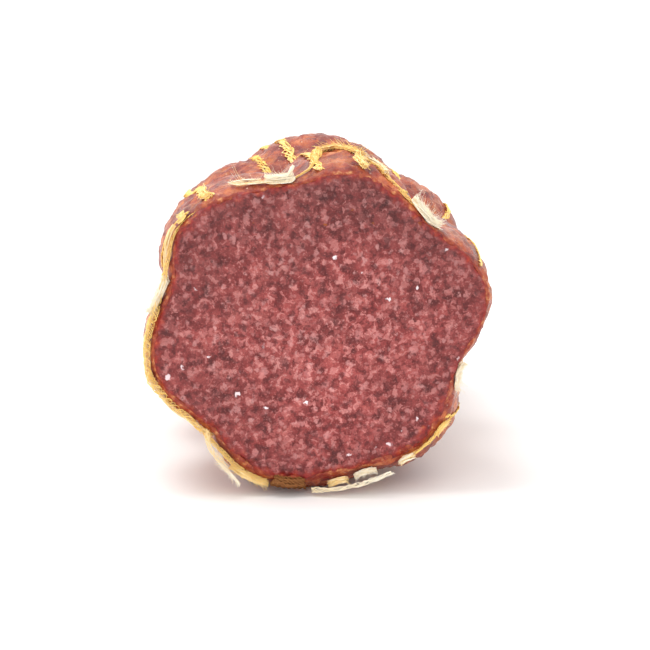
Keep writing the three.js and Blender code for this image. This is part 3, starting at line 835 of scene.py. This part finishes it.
# The first hoop: angle, distance behind the cut, width as a share, height over the skin. Where the
# height is below 0 it is pressed in so far that the skin closes over it.
FIRST_ROUTE = np.array([
    (-26, 2.6, 0.6, 0.0), (-12, 3.2, 0.6, -1.0), (0, 3.4, 0.6, -1.2), (12, 3.4, 0.6, -1.2),
    (24, 3.2, 0.6, -1.2), (36, 2.4, 0.5, -0.8), (46, 1.6, 0.6, 0.1), (54, 1.4, 0.5, 0.3),
    (60, 1.8, 0.5, 0.3), (66, 3.2, 0.45, 0.3), (69, 6.0, 0.5, 0.3), (73, 8.0, 0.8, 0.4),
    (76, 11.5, 0.9, 0.4), (79, 15.5, 1.0, 0.4), (84, 17.5, 1.0, 0.4), (88.5, 16.5, 1.0, 0.4),
    (91, 11, 1.0, 0.4), (94, 5, 0.9, 0.4), (99, 3.0, 0.4, -0.3), (107, 2.0, 0.4, -0.8),
    (115, 1.8, 0.4, -1.1), (123, 2.0, 0.4, -1.1), (135, 1.8, 0.4, -0.9), (147, 1.2, 0.5, 0.1),
    (158, 1.1, 0.6, 0.3), (168, 1.0, 0.9, 0.5), (182, 1.1, 1.15, 0.6), (195, 1.1, 1.2, 0.6),
    (208, 1.1, 1.05, 0.5), (222, 1.2, 0.8, 0.4), (236, 1.2, 0.8, 0.5), (249, 1.4, 1.0, 0.6)])
route, _ = resample(FIRST_ROUTE[:, :3], 1.0)
sink = np.interp(route[:, 0], FIRST_ROUTE[:, 0], FIRST_ROUTE[:, 3])
first_points = hoop_points(route[:, 0], route[:, 1], sink)
width_share = route[:, 2]
b = Bundle()
ribbon(b, first_points, 2.2, 1.7, 20, 3.4, 0.4, loose=0.2,
       thin=lambda s, total: np.interp(s, np.linspace(0, total, len(width_share)), width_share))
seen = over_skin(np.linspace(146, 245, 60), 1.2, 0.6)
hairs(b, seen, 2.2, 0.35, 1.6, (0.1, 0.9))
tuft(b, seen, 2.0, 0.9, 260, (0.0, 0.55), 0.02, 0.07, (0.03, 0.08))
# frayed lumps and loose threads where it crosses the top lobe
tuft(b, on_skin([(76, 1.2), (77, 4), (78, 7)], 0.4), 3.2, 1.0, 90, (0.0, 0.35), 0.25, 0.1)
tuft(b, on_skin([(75, 10), (79, 15.5), (84, 17.5), (89, 16)], 0.4), 2.8, 0.7, 90, (0.0, 0.3),
     0.2, 0.09)
tuft(b, on_skin([(75, 8), (71, 8.6), (68, 7), (67, 4)], 0.4), 1.5, 0.6, 60, (0.1, 0.9), 0.15, 0.09)
ribbon(b, on_skin([(60, 2.2), (58.5, 4.0), (57.0, 5.0)], 0.35), 0.9, 0.4, 5)
ribbon(b, on_skin([(140, 2.0), (150, 5.0), (160, 9.0)], 0.35), 0.9, 0.4, 5)
tuft(b, on_skin([(236, 1.2), (243, 1.2), (250, 1.2)], 0.5), 2.6, 1.2, 90, (0.0, 0.3), 0.2, 0.11)
b.piece("hoop_at_cut", GOLD, "yarn", "first_hoop")

# the knot: brown turns stacked in front of the rim, and more laid over the skin behind them
b = Bundle()
for k in range(5):
    turns = over_skin(np.linspace(251, 262, 14), 0.1 + 0.25 * k, 1.3 - 0.62 * k)
    turns[:, 1] = -0.5 + 0.28 * k + 0.3 * noise(line(np.linspace(0, 9, 14)), 2.5, 40 + k)
    turns[:, 2] += 0.25 * noise(line(np.linspace(0, 9, 14)), 2.0, 60 + k)
    rope(b, turns, 0.8, 2, 2.0, 0.2)
for turn_back in (1.4, 2.2, 3.0):
    rope(b, over_skin(np.linspace(250.5, 262.5, 12), turn_back, 0.5), 0.9, 2, 2.4, 0.25)
b.piece("knot_of_yarn", BROWN, "yarn", "hoop_knot")

HOOP_END = np.array([(-3.2, 0.4, 1.5), (0.6, -0.8, 1.7), (5, -1.4, 2.5), (9.6, -1.6, 3.8),
                     (14.2, -1.4, 5.6)])
b = Bundle()
ribbon(b, HOOP_END, 1.6, 1.2, 12, 4.5, 0.25, loose=0.25,
       white=lambda s, total: np.clip(0.2 + s / total, 0, 1) * rng.uniform(0.5, 1))
tuft(b, [HOOP_END[-2], HOOP_END[-1], 1.12 * HOOP_END[-1] - 0.12 * HOOP_END[-2]], 1.4, 0.3, 24,
     (0.6, 1.0), 0.2, 0.06)
hairs(b, HOOP_END, 1.8, 0.8, 1.4, (0.5, 1))
b.piece("loose_end", BARE, "bare_yarn", "loose_hoop_end")

TIE_TURNS, TIE_PITCH, TIE_HEIGHT = 3, 2.2, 3.3  # its height is from the neck to its middle
TIE_START = DOME_END + NECK_LENGTH * 0.15 + 1.8
turn = np.linspace(0, TIE_TURNS * 2 * np.pi, 90)
tie_radius = NECK_RADIUS + TIE_HEIGHT
tie = np.stack([tie_radius * np.cos(turn), TIE_START + TIE_PITCH * turn / (2 * np.pi),
                AXIS_HEIGHT + tie_radius * np.sin(turn)], -1)
b = Bundle()
rope(b, tie, 1.9, 3, 4.0)
hairs(b, tie, 1.6, 1.5)
b.piece("twine_tie", BARE, "bare_yarn", "tail_tie")

# --------------------------------------------------------------------------------------------
# Floor, light and camera
# --------------------------------------------------------------------------------------------

world = bpy.data.worlds.new("white_room")
bpy.context.scene.world = world
world.use_nodes = True
world.node_tree.nodes["Background"].inputs[0].default_value = (1, 1, 1, 1)
world.node_tree.nodes["Background"].inputs[1].default_value = 1.25

floor_mesh = bpy.data.meshes.new("floor")
floor_mesh.from_pydata([(-3, -3, 0), (3, -3, 0), (3, 6, 0), (-3, 6, 0)], [], [(0, 1, 2, 3)])
floor = bpy.data.objects.new("floor", floor_mesh)
bpy.context.scene.collection.objects.link(floor)
floor_mat = Nodes("pale_floor", 0.6, Specular_IOR_Level=0.3)
floor_mat.shader.inputs["Base Color"].default_value = (0.93, 0.92, 0.91, 1)
floor_mesh.materials.append(floor_mat.mat)


def area_light(name, place, target, size, power, colour=(1, 1, 1)):
    data = bpy.data.lights.new(name, "AREA")
    data.shape, data.size, data.energy, data.color = "DISK", size, power, colour
    light = bpy.data.objects.new(name, data)
    bpy.context.scene.collection.objects.link(light)
    light.location = place
    light.rotation_euler = (Vector(target) - Vector(place)).to_track_quat("-Z", "Y").to_euler()
    return light


centre = Vector((0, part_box("filling")[0][1], 0.037))
area_light("key", centre + Vector((-0.25, 0.05, 0.75)), centre, 0.5, 3)
area_light("front", centre + Vector((-0.35, -0.85, 0.45)), centre, 0.6, 1.0)

camera_data = bpy.data.cameras.new("camera")
SENSOR_WIDTH, FOCAL_LENGTH = 36, 74.55
camera_data.sensor_width, camera_data.lens = SENSOR_WIDTH, FOCAL_LENGTH
camera_data.clip_start, camera_data.clip_end = 0.01, 20
camera = bpy.data.objects.new("camera", camera_data)
bpy.context.scene.collection.objects.link(camera)
YAW, PITCH, DISTANCE = math.radians(2.5), math.radians(8.5), 290.0
forward = Vector((math.sin(YAW) * math.cos(PITCH), math.cos(YAW) * math.cos(PITCH),
                  -math.sin(PITCH)))
camera.rotation_euler = forward.to_track_quat("-Z", "Y").to_euler()
aim = Vector((ROW_SHIFT[0] - 0.3, ROW_SHIFT[1], AXIS_HEIGHT + ROW_SHIFT[2] + 0.1))
camera.location = (aim - DISTANCE * forward) * MM
bpy.context.scene.camera = camera
bpy.context.scene.view_settings.view_transform = "Standard"
